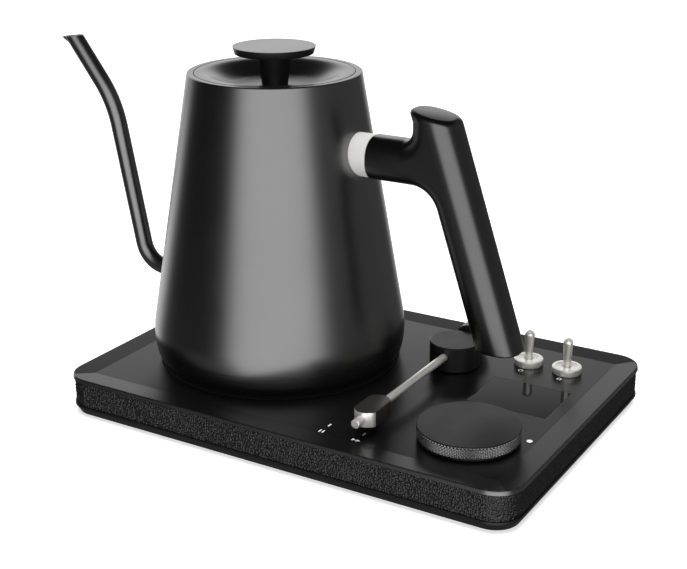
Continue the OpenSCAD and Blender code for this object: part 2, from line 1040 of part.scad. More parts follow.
// Middle plane of the handle before rounding: the arm's bar and the grip's bar
module handle_core() {
    bar = arm_r - grip_round;
    half = (grip_half_depth - grip_round) / cos(grip_lean);
    low_z = grip_foot_z - 30;
    high_z = grip_top_z + 30;
    translate([collar_x1 - 20, arm_z - bar])
        square([grip_x(arm_z) - collar_x1 + 20, 2 * bar]);
    polygon([
        [grip_x(low_z) - half, low_z], [grip_x(low_z) + half, low_z],
        [grip_x(high_z) + half, high_z], [grip_x(high_z) - half, high_z]
    ]);
    // upright shoulder between the arm and the grip's top
    polygon([
        [grip_x(shoulder_z) - half, arm_z], [grip_x(arm_z), arm_z], [grip_x(shoulder_z) - half, shoulder_z]
    ]);
}

// Fills the inner corners of its children with radius r
module fill_corners(r) {
    offset(r = -r)
        offset(r = r)
            children();
}

module handle_outline() {
    big = 300;
    intersection() {
        fill_corners(arm_top_fillet + grip_round)
            handle_core();
        translate([0, arm_z])
            square([big, big]);
    }
    intersection() {
        fill_corners(arm_under_fillet + grip_round)
            handle_core();
        translate([0, arm_z - big + eps])
            square([big, big]);
    }
}

module handle_solid() {
    intersection() {
        minkowski() {
            rotate([90, 0, 0])
                linear_extrude(2 * (grip_half_width - grip_round), center = true)
                    handle_outline($fn = 40);
            sphere(grip_round, $fn = 32);
        }
        translate([collar_x1, -50, grip_foot_z])
            cube([200, 100, 300]);
        translate([grip_top_x, 0, grip_top_z])
            rotate([0, grip_top_tilt, 0])
                translate([-150, -50, -300])
                    cube([300, 100, 300]);
    }
}

grip_core_l = 60;

module grip_core(r, z0, z1) {
    translate([grip_x(grip_foot_z), 0, grip_foot_z])
        rotate([0, -grip_lean, 0])
            translate([0, 0, z0])
                cylinder(h = z1 - z0, r = r);
}

module handle_grip() {
    color(black)
        at_kettle()
            difference() {
                handle_solid();
                grip_core(7, -10, grip_core_l);
                along_handle(collar_x1 - 1, collar_x1 + 22, 2.6);
            }
}

module handle_end_cap() {
    color(black)
        at_kettle()
            intersection() {
                grip_core(6.95, -6, 6);
                translate([0, -50, grip_foot_z + 0.3])
                    cube([200, 100, 20]);
            }
}

module handle_bolt() {
    color(steel)
        at_kettle() {
            along_handle(collar_x0 - 3, collar_x1 + 21, 2.5);
            along_handle(collar_x0 - 6, collar_x0 - 3 + eps, 4.5);
        }
}

// ---- Lid ----

function dish_z(r) =
    dish_floor_z + dish_depth * (0.5 - 0.5 * cos(180 * (r - dish_floor_r) / (lid_r - dish_flat - dish_floor_r)));
dish_steps = 16;
dish_radii = [for (i = [0:dish_steps]) dish_floor_r + (lid_r - dish_flat - dish_floor_r) * i / dish_steps];

module lid_dish() {
    color(satin)
        at_kettle()
            rotate_extrude()
                polygon(concat(
                    [[lid_screw_r + 0.1, dish_floor_z]],
                    [for (r = dish_radii) [r, dish_z(r)]],
                    [[lid_r - 0.2, rim_z], [lid_r, rim_z - 0.2], [lid_r, rim_z - dish_t]],
                    [for (i = [dish_steps:-1:0]) [dish_radii[i], dish_z(dish_radii[i]) - dish_t]],
                    [[lid_screw_r + 0.1, dish_floor_z - dish_t]]
                ));
}

module lid_liner() {
    top = rim_z - dish_t - 0.15;
    color(steel)
        at_kettle()
            rotate_extrude()
                polygon([
                    [lid_screw_r + 0.1, rim_z - liner_h], [liner_r - 0.6, rim_z - liner_h],
                    [liner_r, rim_z - liner_h + 0.6], [liner_r, top],
                    [liner_r - liner_t, top], [liner_r - liner_t, rim_z - liner_h + liner_t],
                    [lid_screw_r + 0.1, rim_z - liner_h + liner_t]
                ]);
}

module lid_seal() {
    z0 = rim_z - 9.4;
    color("#cfcac2")
        at_kettle()
            rotate_extrude()
                polygon([
                    [liner_r + 0.02, z0], [mouth_r - 1.2, z0], [mouth_r - 0.45, z0 + 1.4],
                    [mouth_r - 1.2, z0 + 2.8], [liner_r + 0.02, z0 + 2.8]
                ]);
}

module lid_stem() {
    color(satin)
        at_kettle()
            difference() {
                translate([0, 0, dish_floor_z])
                    cylinder(h = knob_under_z - dish_floor_z, r1 = stem_r0, r2 = stem_r1);
                disc(lid_screw_r + 0.1, dish_floor_z - 1, knob_under_z + 1);
            }
}

module lid_knob() {
    top = knob_under_z + knob_h;
    color(satin)
        at_kettle()
            rotate_extrude()
                polygon([
                    [lid_screw_r + 0.05, knob_under_z], [knob_foot_r - 0.2, knob_under_z],
                    [knob_foot_r, knob_under_z + 0.2], [knob_r, top - 0.25],
                    [knob_r - 0.2, top], [0, top], [0, top - 1.6], [lid_screw_r + 0.05, top - 1.6]
                ]);
}

module lid_screw() {
    color(steel)
        at_kettle() {
            disc(lid_screw_r, rim_z - liner_h - eps, knob_under_z + knob_h - 2);
            disc(4, rim_z - liner_h - 1.6, rim_z - liner_h);
        }
}

top_plate();
base_housing();
leather_wrap();
bottom_pan();
base_feet();
base_screws();
kettle_seat();
connector_base();
connector_contacts();
display_window();
display_module();
control_board();
encoder_body();
indicator_lens();
power_board();
relay();
transformer();
filter_capacitor();
buzzer();
cord_gland();
toggle_nut_1();
toggle_nut_2();
toggle_switch_1();
toggle_switch_2();
toggle_lever_1();
toggle_lever_2();
encoder_shaft();
dial_knob();
dial_grip_ring();
arm_bushing();
arm_sensor();
arm_shaft();
arm_clip();
arm_magnet();
arm_drum();
arm_tube();
headshell();
headshell_pin();
counterweight();
upper_connector();
kettle_base_cover();
base_cover_screws();
kettle_floor();
heating_element();
temperature_sensor();
kettle_body();
spout();
spout_filter();
handle_collar();
handle_grip();
handle_end_cap();
handle_bolt();
lid_dish();
lid_liner();
lid_seal();
lid_stem();
lid_knob();
lid_screw();
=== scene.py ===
"""Looks for the gooseneck kettle and its control base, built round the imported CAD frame.

Everything is in metres, +Z up. Places and sizes come from the frame's nodes.
"""
import contextlib
import json
import math

import bmesh
import bpy
import numpy as np
from mathutils import Matrix, Vector, kdtree


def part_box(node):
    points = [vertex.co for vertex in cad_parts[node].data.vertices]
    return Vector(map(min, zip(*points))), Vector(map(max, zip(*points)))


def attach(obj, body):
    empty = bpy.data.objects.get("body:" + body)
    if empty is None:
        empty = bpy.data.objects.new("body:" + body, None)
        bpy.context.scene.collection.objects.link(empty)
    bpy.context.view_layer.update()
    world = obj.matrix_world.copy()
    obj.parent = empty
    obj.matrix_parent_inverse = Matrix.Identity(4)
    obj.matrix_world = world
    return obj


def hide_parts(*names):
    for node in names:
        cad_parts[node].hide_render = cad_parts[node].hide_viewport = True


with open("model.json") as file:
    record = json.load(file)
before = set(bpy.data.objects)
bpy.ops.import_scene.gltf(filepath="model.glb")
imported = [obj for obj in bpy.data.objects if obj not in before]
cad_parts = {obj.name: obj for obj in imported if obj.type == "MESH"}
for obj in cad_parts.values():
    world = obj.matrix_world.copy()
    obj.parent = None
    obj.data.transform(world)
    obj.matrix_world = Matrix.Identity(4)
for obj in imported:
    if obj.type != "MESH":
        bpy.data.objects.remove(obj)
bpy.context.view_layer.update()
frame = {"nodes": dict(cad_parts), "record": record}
MM = 0.001
TINY = 1e-6  # nearer than this counts as the same place


# ---------------------------------------------------------------- places, read from the frame

def centre_of(node):
    lo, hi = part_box(node)
    return (lo + hi) / 2


def size_of(node):
    lo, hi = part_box(node)
    return hi - lo


KETTLE = centre_of("kettle_floor")
BASE_SIZE = size_of("top_plate")
DIAL = centre_of("dial_grip_ring")
PIVOT = centre_of("arm_drum")
PANEL_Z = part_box("kettle_seat")[1].z
EDGE_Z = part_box("top_plate")[1].z


# ---------------------------------------------------------------- mesh helpers

CORNER_ROOM = 0.98  # share of an edge that the roundings at its two ends may use
LATHE_SEGMENTS = 160


def link(name, mesh):
    piece = bpy.data.objects.new(name, mesh)
    bpy.context.scene.collection.objects.link(piece)
    return piece


@contextlib.contextmanager
def edited(piece):
    """The piece's mesh as a bmesh, written back at the end."""
    bm = bmesh.new()
    bm.from_mesh(piece.data)
    yield bm
    bm.to_mesh(piece.data)
    bm.free()


def smooth(piece, angle):
    """Smooth shading, with edges sharper than angle (in degrees) kept crisp."""
    piece.data.shade_smooth()
    limit = math.radians(angle)
    with edited(piece) as bm:
        for edge in bm.edges:
            edge.smooth = len(edge.link_faces) == 2 and edge.calc_face_angle(0) < limit


def grid_mesh(name, rows, close_rows=False, close_columns=True):
    """A quad mesh through rows of points, each row the same length."""
    rows = np.asarray(rows, float)
    n, m = rows.shape[:2]
    faces = []
    for i in range(n if close_rows else n - 1):
        for j in range(m if close_columns else m - 1):
            a, b = i, (i + 1) % n
            c, d = j, (j + 1) % m
            faces.append((a * m + c, a * m + d, b * m + d, b * m + c))
    mesh = bpy.data.meshes.new(name)
    mesh.from_pydata(rows.reshape(-1, 3).tolist(), [], faces)
    return link(name, mesh)


def cap_ends(bm, row_count, row_length):
    """Closes the first and the last row of a grid with one face each."""
    bm.verts.ensure_lookup_table()
    for first in (0, (row_count - 1) * row_length):
        bm.faces.new([bm.verts[first + k] for k in range(row_length)])
    bmesh.ops.recalc_face_normals(bm, faces=bm.faces)


def clean(piece):
    """Merges doubled points, such as those on an axis, and turns the faces outwards."""
    with edited(piece) as bm:
        bmesh.ops.remove_doubles(bm, verts=bm.verts, dist=TINY)
        bmesh.ops.dissolve_degenerate(bm, edges=bm.edges, dist=TINY)
        bmesh.ops.recalc_face_normals(bm, faces=bm.faces)


def unit(vectors):
    """Rows of vectors, each scaled to length 1."""
    return vectors / np.linalg.norm(vectors, axis=1)[:, None]


def to_the_right(steps):
    """Each 2D step turned to its right: outwards, on an outline that runs anticlockwise."""
    return np.column_stack([steps[:, 1], -steps[:, 0]])


def quarter(steps):
    """Cosine and sine of evenly spaced angles from 0 to 90 degrees."""
    angles = [math.pi / 2 * k / steps for k in range(steps + 1)]
    return [(math.cos(a), math.sin(a)) for a in angles]


def rounded(points, radii, steps, closed=False):
    """A 2D outline with its corners rounded. radii has one number a point, 0 for a sharp one."""
    points = [np.array(p, float) for p in points]
    n = len(points)
    corners, backs, lengths = [], [], []
    for i, p in enumerate(points):
        before, after = points[i - 1] - p, points[(i + 1) % n] - p
        length = np.linalg.norm(after)
        before, after = before / np.linalg.norm(before), after / length
        half = math.acos(max(-1, min(1, before @ after))) / 2
        sharp = radii[i] <= 0 or (not closed and i in (0, n - 1))
        corners.append((p, before, after, half))
        backs.append(0.0 if sharp else radii[i] / math.tan(half))
        lengths.append(length)
    for i in range(n):
        following = (i + 1) % n
        room = lengths[i] * CORNER_ROOM
        used = backs[i] + backs[following]
        if used > room:
            backs[i] *= room / used
            backs[following] *= room / used
    out = []
    for (p, before, after, half), back in zip(corners, backs):
        if back <= 0:
            out.append(p)
            continue
        radius = back * math.tan(half)
        middle = before + after
        centre = p + middle / np.linalg.norm(middle) * (radius / math.sin(half))
        start, end = p + before * back - centre, p + after * back - centre
        turn = math.atan2(start[0] * end[1] - start[1] * end[0], start @ end)
        for k in range(steps + 1):
            a = turn * k / steps
            c, s = math.cos(a), math.sin(a)
            turned = [start[0] * c - start[1] * s, start[0] * s + start[1] * c]
            out.append(centre + np.array(turned))
    return out


def lathe(name, outline, axis_x, axis_y, closed=True):
    """Turns an (r, z) outline about a vertical axis."""
    turns = np.linspace(0, 2 * math.pi, LATHE_SEGMENTS, endpoint=False)
    rows = []
    for r, z in outline:
        rows.append([(axis_x + r * math.cos(t), axis_y + r * math.sin(t), z) for t in turns])
    piece = grid_mesh(name, rows, close_rows=closed)
    clean(piece)
    smooth(piece, angle=50)
    return piece


# ---------------------------------------------------------------- materials

NOISE_SPAN = (0.3, 0.7)  # where nearly all of a noise texture's values lie
RANGE_SOCKETS = ("From Min", "From Max", "To Min", "To Max")


def map_range(tree, value, numbers, interpolation="LINEAR"):
    """A Map Range node. numbers are the two it maps from and the two it maps to."""
    node = tree.nodes.new("ShaderNodeMapRange")
    node.interpolation_type = interpolation
    for socket, number in zip(RANGE_SOCKETS, numbers):
        node.inputs[socket].default_value = number
    tree.links.new(value, node.inputs["Value"])
    return node.outputs["Result"]


def combine(tree, operation, a, b):
    """A Math node of two sockets, or of a socket and a number."""
    node = tree.nodes.new("ShaderNodeMath")
    node.operation = operation
    for socket, value in zip(node.inputs, (a, b)):
        if isinstance(value, (int, float)):
            socket.default_value = value
        else:
            tree.links.new(value, socket)
    return node.outputs[0]


def grey(value):
    return (value, value, value)


def shade(color, factor):
    return tuple(c * factor for c in color)


class Surface:
    """One Principled material and the few node chains that the finishes below share."""

    def __init__(self, name, color, metallic=0.0, roughness=0.4, ior=1.5):
        self.material = bpy.data.materials.new(name)
        self.material.use_nodes = True
        self.tree = self.material.node_tree
        self.shader = self.tree.nodes["Principled BSDF"]
        self.set("Metallic", metallic)
        self.set("Roughness", roughness)
        self.set("IOR", ior)
        self.set("Base Color", (*color, 1))
        self.normal = None
        self.material.diffuse_color = (*color, 1)

    def set(self, socket, value):
        self.shader.inputs[socket].default_value = value

    def add(self, kind, **values):
        node = self.tree.nodes.new(kind)
        for key, value in values.items():
            if key in node.inputs:
                node.inputs[key].default_value = value
            else:
                setattr(node, key, value)
        return node

    def link(self, source, target):
        self.tree.links.new(source, target)

    def place(self, scale=(1, 1, 1)):
        """Object coordinates in metres, stretched by scale."""
        where = self.add("ShaderNodeTexCoord")
        stretch = self.add("ShaderNodeMapping")
        stretch.inputs["Scale"].default_value = scale
        self.link(where.outputs["Object"], stretch.inputs["Vector"])
        return stretch.outputs["Vector"]

    def noise(self, scale, detail=3.0, stretch=(1, 1, 1), rough=0.55):
        """A noise texture's value. scale is in cells a metre."""
        node = self.add("ShaderNodeTexNoise", Scale=scale, Detail=detail, Roughness=rough)
        self.link(self.place(stretch), node.inputs["Vector"])
        return node.outputs["Fac"]

    def remap(self, value, low, high):
        """Spreads a noise value over low to high."""
        return map_range(self.tree, value, (*NOISE_SPAN, low, high))

    def mix(self, amount, a, b):
        node = self.add("ShaderNodeMix", data_type="RGBA")
        node.inputs["A"].default_value = (*a, 1)
        node.inputs["B"].default_value = (*b, 1)
        self.link(amount, node.inputs["Factor"])
        return node.outputs["Result"]

    def rough_from(self, value):
        self.link(value, self.shader.inputs["Roughness"])

    def color_from(self, value):
        self.link(value, self.shader.inputs["Base Color"])

    def clouds(self, value, color, other):
        """Lets the colour drift between two close shades as a noise value does."""
        self.color_from(self.mix(self.remap(value, 0.0, 1.0), color, other))

    def normal_from(self, value):
        self.normal = value
        self.link(value, self.shader.inputs["Normal"])

    def round_edges(self, radius):
        """Softens edges in the shading, as a small machined or moulded radius does."""
        self.normal_from(self.add("ShaderNodeBevel", samples=4, Radius=radius).outputs["Normal"])

    def bump(self, height, strength, distance):
        node = self.add("ShaderNodeBump", Strength=strength, Distance=distance)
        self.link(height, node.inputs["Height"])
        if self.normal is not None:
            self.link(self.normal, node.inputs["Normal"])
        self.normal_from(node.outputs["Normal"])


def coated_metal(name, color, cloud, roughness, swing, grain, edge=0, metallic=1.0):
    """Baked satin coating: faint orange peel, gloss uneven by swing, drifts to the cloud colour."""
    s = Surface(name, color, metallic=metallic, roughness=roughness)
    if edge:
        s.round_edges(edge)
    blotches = s.remap(s.noise(scale=38, detail=5), -swing, swing)
    fine = s.remap(s.noise(scale=900, detail=2), -swing * 0.5, swing * 0.5)
    mottled = combine(s.tree, "ADD", blotches, fine)
    s.rough_from(combine(s.tree, "ADD", mottled, roughness))
    s.clouds(s.noise(scale=14, detail=3), color, cloud)
    s.bump(s.noise(scale=2600, detail=2), grain, distance=0.02 * MM)
    return s.material


def moulded(name, color, roughness, grain=0.12, grain_scale=3200, edge=0.3 * MM):
    """Moulded plastic or rubber with a fine spark-eroded grain and faint handling marks."""
    swing = 0.04
    s = Surface(name, color, roughness=roughness, ior=1.47)
    s.round_edges(edge)
    marks = s.noise(scale=55, detail=6, rough=0.65)
    s.rough_from(s.remap(marks, roughness - swing, roughness + swing))
    s.clouds(s.noise(scale=20), color, shade(color, 1.25))
    s.bump(s.noise(scale=grain_scale, detail=3), grain, distance=0.03 * MM)
    return s.material


def brushed(name, color, roughness, stretch, grain=0.15, metallic=1.0):
    """Metal with fine drawn or turned lines, long where stretch is small."""
    swing = 0.05
    s = Surface(name, color, metallic=metallic, roughness=roughness)
    s.round_edges(0.2 * MM)
    lines = s.noise(scale=1400, detail=4, stretch=stretch, rough=0.7)
    smears = s.noise(scale=60, detail=3)
    smeared = s.remap(smears, roughness - 0.03, roughness + 0.05)
    s.rough_from(combine(s.tree, "ADD", s.remap(lines, -swing, swing), smeared))
    s.clouds(smears, color, shade(color, 0.86))
    s.bump(lines, grain, distance=0.01 * MM)
    return s.material


def polished(name, color, roughness, metallic):
    """Plated metal: a soft mirror with a trace of wipe marks."""
    s = Surface(name, color, metallic=metallic, roughness=roughness)
    wipes = s.noise(scale=90, detail=4, stretch=(1, 1, 0.4))
    s.rough_from(s.remap(wipes, roughness * 0.95, roughness * 1.12))
    s.clouds(s.noise(scale=45), color, shade(color, 0.96))
    return s.material


def leather(name, color):
    """Coated leather: the mesh has the pebbles, this adds pores, creases and an uneven shine."""
    s = Surface(name, color, roughness=0.45, ior=1.6)
    pores = s.add("ShaderNodeTexVoronoi", Scale=1900.0)
    s.link(s.place(), pores.inputs["Vector"])
    s.rough_from(s.remap(s.noise(scale=420, detail=5), 0.29, 0.40))
    s.clouds(s.noise(scale=120, detail=4), color, shade(color, 1.7))
    s.bump(pores.outputs["Distance"], strength=0.25, distance=0.05 * MM)
    s.bump(s.noise(scale=2400, detail=3), strength=0.2, distance=0.04 * MM)
    return s.material


def glossy_window(name, color):
    """Smoked glass with the faintest uneven gloss."""
    s = Surface(name, color, roughness=0.03, ior=1.33)
    s.rough_from(s.remap(s.noise(scale=70, detail=6), 0.02, 0.05))
    return s.material


def printed(name, color):
    """Printed ink or a frosted lens: matt, with a fine tooth."""
    s = Surface(name, color, roughness=0.55)
    s.rough_from(s.remap(s.noise(scale=900, detail=3), 0.45, 0.65))
    s.bump(s.noise(scale=3000, detail=2), strength=0.1, distance=0.01 * MM)
    return s.material


def board(name, color):
    """Solder mask over copper: a grid of faint tracks and a semi-gloss skin."""
    s = Surface(name, color, roughness=0.35)
    tracks = s.add("ShaderNodeTexBrick", Scale=160.0)
    s.link(s.place(), tracks.inputs["Vector"])
    s.color_from(s.mix(tracks.outputs["Fac"], color, shade(color, 1.6)))
    s.rough_from(s.remap(s.noise(scale=200), 0.28, 0.45))
    s.bump(tracks.outputs["Fac"], strength=0.2, distance=0.03 * MM)
    return s.material


# ---------------------------------------------------------------- finishes for every CAD node

RECIPES = {
    "plate_black": (coated_metal, dict(
        color=(0.0035, 0.0035, 0.0036), cloud=(0.0045, 0.0045, 0.0046), roughness=0.292,
        swing=0.008, grain=0.006, edge=0.3 * MM, metallic=0.0)),
    "body_black": (coated_metal, dict(
        color=grey(0.215), cloud=grey(0.225), roughness=0.31, swing=0.015, grain=0.006,
        edge=0.12 * MM)),
    "knurl_black": (coated_metal, dict(
        color=grey(0.40), cloud=grey(0.44), roughness=0.30, swing=0.01, grain=0.006)),
    "control_black": (brushed, dict(
        color=(0.016, 0.016, 0.0165), roughness=0.36, stretch=(1, 1, 1), metallic=0.35,
        grain=0.05)),
    "leather_black": (leather, dict(color=(0.002, 0.002, 0.0019))),
    "trim_black": (moulded, dict(color=(0.006, 0.006, 0.0062), roughness=0.36, edge=0.4 * MM)),
    "handle_black": (coated_metal, dict(
        color=grey(0.125), cloud=grey(0.132), roughness=0.292, swing=0.008, grain=0.004)),
    "nickel": (polished, dict(color=(0.98, 0.96, 0.91), roughness=0.30, metallic=0.68)),
    "satin_steel": (brushed, dict(
        color=(0.90, 0.89, 0.865), roughness=0.5, stretch=(1, 0.05, 1), metallic=0.3)),
    "gunmetal": (brushed, dict(
        color=(0.20, 0.19, 0.175), roughness=0.34, stretch=(1, 0.08, 1), metallic=0.9)),
    "rubber_black": (moulded, dict(
        color=grey(0.006), roughness=0.7, grain=0.2, grain_scale=1500)),
    "silicone": (moulded, dict(color=(0.62, 0.60, 0.56), roughness=0.5)),
    "display_glass": (glossy_window, dict(color=(0.004, 0.004, 0.005))),
    "lens_white": (printed, dict(color=(0.85, 0.87, 0.90))),
    "board_green": (board, dict(color=(0.02, 0.12, 0.05))),
    "part_plastic": (moulded, dict(color=(0.03, 0.03, 0.032), roughness=0.42)),
    "relay_blue": (moulded, dict(color=(0.03, 0.08, 0.26), roughness=0.4)),
    "winding_yellow": (moulded, dict(color=(0.55, 0.36, 0.06), roughness=0.4)),
    "brass": (brushed, dict(color=(0.72, 0.52, 0.22), roughness=0.28, stretch=(1, 1, 0.1))),
    "heater_alloy": (brushed, dict(
        color=(0.45, 0.45, 0.46), roughness=0.45, stretch=(1, 1, 1), grain=0.3)),
}
FINISH = {name: make(name, **values) for name, (make, values) in RECIPES.items()}

for part in frame["record"]["subparts"]:
    node = frame["nodes"][part["node"]]
    node.data.materials.clear()
    node.data.materials.append(FINISH[part["material_slot"]])


# ---------------------------------------------------------------- camera, floor and light

CAMERA_AZIMUTH = math.radians(31.065)
CAMERA_ELEVATION = math.radians(20.129)
CAMERA_ROLL = math.radians(-0.267)
CAMERA_PLACE = Vector((330.4, -561.85, 307.7)) * MM
CAMERA_LENS = 69.33
CAMERA_SENSOR = 36
CAMERA_NEAR = 0.01
FLOOR_HALF = 6
FLOOR_GLOW = 0.6
LAMP_PLACE = (0.0, 0.1, 2.4)
LAMP_SIZE = 1.8
LAMP_POWER = 70

# The surroundings that the object mirrors. An EDGE is the cosine to the middle direction, and a
# TOP or FOOT the sine of the height, between which a part fades. The rest are strengths.
BACKDROP_TURN = math.radians(13)
BACKDROP_EDGE = (0.70, 0.89)
BACKDROP_TOP = (0.36, 0.48)
BACKDROP = 1.25
SOFTBOX_TURN = math.radians(-1)
SOFTBOX_EDGE = (0.63, 0.84)
SOFTBOX_TOP = (0.55, 0.85)
SOFTBOX_FOOT = (-0.72, -0.58)
SOFTBOX = 1.55
WING_EDGE = (0.2, 0.8)
WING_TOP = (0.45, 0.8)
WING = 0.13
GROUND_TOP = (-0.34, -0.14)
GROUND = 0.13
ROOM = 0.025


def make_camera():
    """A camera at the photo's angle and distance."""
    camera = bpy.data.objects.new("camera", bpy.data.cameras.new("camera"))
    bpy.context.scene.collection.objects.link(camera)
    a, e = CAMERA_AZIMUTH, CAMERA_ELEVATION
    back = Vector((math.sin(a) * math.cos(e), -math.cos(a) * math.cos(e), math.sin(e)))
    right = Vector((math.cos(a), math.sin(a), 0))
    up = back.cross(right)
    c, s = math.cos(CAMERA_ROLL), math.sin(CAMERA_ROLL)
    right, up = right * c + up * s, up * c - right * s
    camera.matrix_world = Matrix((
        (right.x, up.x, back.x, CAMERA_PLACE.x),
        (right.y, up.y, back.y, CAMERA_PLACE.y),
        (right.z, up.z, back.z, CAMERA_PLACE.z),
        (0, 0, 0, 1)))
    camera.data.lens = CAMERA_LENS
    camera.data.sensor_width = CAMERA_SENSOR
    camera.data.clip_start = CAMERA_NEAR
    bpy.context.scene.camera = camera


def make_floor():
    """A white sheet that shows soft shadows but isn't mirrored by the object."""
    h = FLOOR_HALF
    rows = [[(-h, -h, 0), (h, -h, 0)], [(-h, h, 0), (h, h, 0)]]
    floor = grid_mesh("floor", rows, close_columns=False)
    s = Surface("floor_paper", grey(0.9), roughness=0.9)
    s.set("Specular IOR Level", 0.1)
    s.clouds(s.noise(scale=3), grey(0.90), grey(0.88))
    s.set("Emission Color", (1, 1, 1, 1))
    s.set("Emission Strength", FLOOR_GLOW)
    floor.data.materials.append(s.material)
    floor.visible_glossy = False


def make_world():
    """A pale backdrop, a soft box behind the camera, a faint wing on the right, dim ground."""
    world = bpy.data.worlds.new("studio")
    bpy.context.scene.world = world
    world.use_nodes = True
    tree = world.node_tree
    where = tree.nodes.new("ShaderNodeTexCoord").outputs["Generated"]

    def facing(direction):
        node = tree.nodes.new("ShaderNodeVectorMath")
        node.operation = "DOT_PRODUCT"
        node.inputs[1].default_value = direction
        tree.links.new(where, node.inputs[0])
        return node.outputs["Value"]

    def fade(value, between, low, high):
        return map_range(tree, value, (*between, low, high), "SMOOTHSTEP")

    height = facing((0, 0, 1))

    def panel(middle, edge, top, strength):
        return combine(tree, "MULTIPLY", fade(middle, edge, 0, 1), fade(height, top, strength, 0))

    behind_turn = CAMERA_AZIMUTH + BACKDROP_TURN
    front_turn = CAMERA_AZIMUTH + SOFTBOX_TURN
    behind = facing((-math.sin(behind_turn), math.cos(behind_turn), 0))
    right = facing((math.cos(CAMERA_AZIMUTH), math.sin(CAMERA_AZIMUTH), 0))
    front = facing((math.sin(front_turn), -math.cos(front_turn), 0))
    backdrop = panel(behind, BACKDROP_EDGE, BACKDROP_TOP, BACKDROP)
    wing = panel(right, WING_EDGE, WING_TOP, WING)
    softbox = panel(front, SOFTBOX_EDGE, SOFTBOX_TOP, SOFTBOX)
    softbox = combine(tree, "MULTIPLY", softbox, fade(height, SOFTBOX_FOOT, 0, 1))
    ground = fade(height, GROUND_TOP, GROUND, ROOM)
    back_and_side = combine(tree, "MAXIMUM", backdrop, wing)
    front_and_ground = combine(tree, "MAXIMUM", softbox, ground)
    strength = combine(tree, "MAXIMUM", back_and_side, front_and_ground)
    tree.links.new(strength, tree.nodes["Background"].inputs["Strength"])
    tree.nodes["Background"].inputs["Color"].default_value = (1, 1, 1, 1)


def make_lamp():
    """One wide soft lamp overhead, facing straight down as a new area light does."""
    lamp = bpy.data.lights.new("overhead", "AREA")
    lamp.energy = LAMP_POWER
    lamp.shape = "SQUARE"
    lamp.size = LAMP_SIZE
    holder = link("overhead", lamp)
    holder.location = LAMP_PLACE
    holder.visible_glossy = False


# ---------------------------------------------------------------- leather band

BASE_CORNER = 14.5 * MM
LEATHER_SEED = 7
LEATHER_STEP = 0.22 * MM
LEATHER_ROWS = 60
LEATHER_PITCH = 1.15 * MM
LEATHER_CREASE = 0.55  # share of the pitch that the slope into a crease takes
LEATHER_LEVELS = (0.55, 1.0)
LEATHER_RELIEF = 0.62 * MM
LEATHER_EDGE_RELIEF = 0.3  # share of the relief that is left at the band's edges
LEATHER_RELIEF_RUN = 0.8 * MM
LEATHER_SLANT = math.radians(-52)
LEATHER_STRETCH = 2.3
LEATHER_BULGE = 0.35 * MM
LEATHER_BULGE_RUN = 1.5 * MM
LEATHER_BACK = -0.92 * MM
LEATHER_GAP = 0.02 * MM
GLAND_HOLE = 4.7 * MM
GLAND_REACH = 4 * MM


def perimeter(width, depth, step):
    """Points and outward normals round the base's outline, step apart, and the run along it."""
    w, d, r = width / 2, depth / 2, BASE_CORNER
    places, outward, run = [], [], []
    length = 0.0
    sides = (((w, -d + r), (0, 1), 2 * (d - r)), ((w - r, d), (-1, 0), 2 * (w - r)),
             ((-w, d - r), (0, -1), 2 * (d - r)), ((-w + r, -d), (1, 0), 2 * (w - r)))
    for (x, y), (tx, ty), side in sides:
        count = int(round(side / step))
        for k in range(count):
            along = side * k / count
            places.append((x + tx * along, y + ty * along))
            outward.append((ty, -tx))
            run.append(length + along)
        length += side
        cx, cy = x + tx * side - ty * r, y + ty * side + tx * r
        bend = r * math.pi / 2
        count = int(round(bend / step))
        for k in range(count):
            a = math.atan2(-tx, ty) + math.pi / 2 * k / count
            places.append((cx + r * math.cos(a), cy + r * math.sin(a)))
            outward.append((math.cos(a), math.sin(a)))
            run.append(length + bend * k / count)
        length += bend
    return np.array(places), np.array(outward), np.array(run), length


def pebbles(run, heights, length):
    """Height field, 0 to 1, of long slanted pebbles of uneven height with creases between them."""
    rng = np.random.default_rng(LEATHER_SEED)
    c, s = math.cos(LEATHER_SLANT), math.sin(LEATHER_SLANT)

    def skew(u, v):
        return ((u * c + v * s) / LEATHER_STRETCH, v * c - u * s, 0)

    spare = 2  # rows of cells beyond each edge of the band
    across = int(round(length / LEATHER_PITCH))
    tall = int((heights[-1] - heights[0]) / LEATHER_PITCH) + 2 * spare + 1
    shifts = (-length, 0, length)
    tree = kdtree.KDTree(across * tall * len(shifts))
    level = rng.uniform(*LEATHER_LEVELS, across * tall)
    for i in range(across):
        for j in range(tall):
            u = (i + rng.uniform(0, 1)) * length / across
            v = heights[0] + (j - spare + rng.uniform(0, 1)) * LEATHER_PITCH
            for shift in shifts:
                tree.insert(skew(u + shift, v), i * tall + j)
    tree.balance()
    field = np.zeros((len(heights), len(run)))
    for i, v in enumerate(heights):
        for j, u in enumerate(run):
            near = tree.find_n(skew(u, v), 2)
            margin = near[1][2] - near[0][2]
            border = min(1.0, margin / (LEATHER_CREASE * LEATHER_PITCH))
            field[i, j] = level[near[0][1]] * border * (2 - border)
    return field


def hole_for_gland(piece):
    """Opens the band where the cord's gland passes through its back."""
    gland = centre_of("cord_gland")
    with edited(piece) as bm:
        doomed = []
        for face in bm.faces:
            middle = face.calc_center_median()
            away = math.hypot(middle.x - gland.x, middle.z - gland.z)
            if middle.y > gland.y - GLAND_REACH and away < GLAND_HOLE:
                doomed.append(face)
        bmesh.ops.delete(bm, geom=doomed, context="FACES")


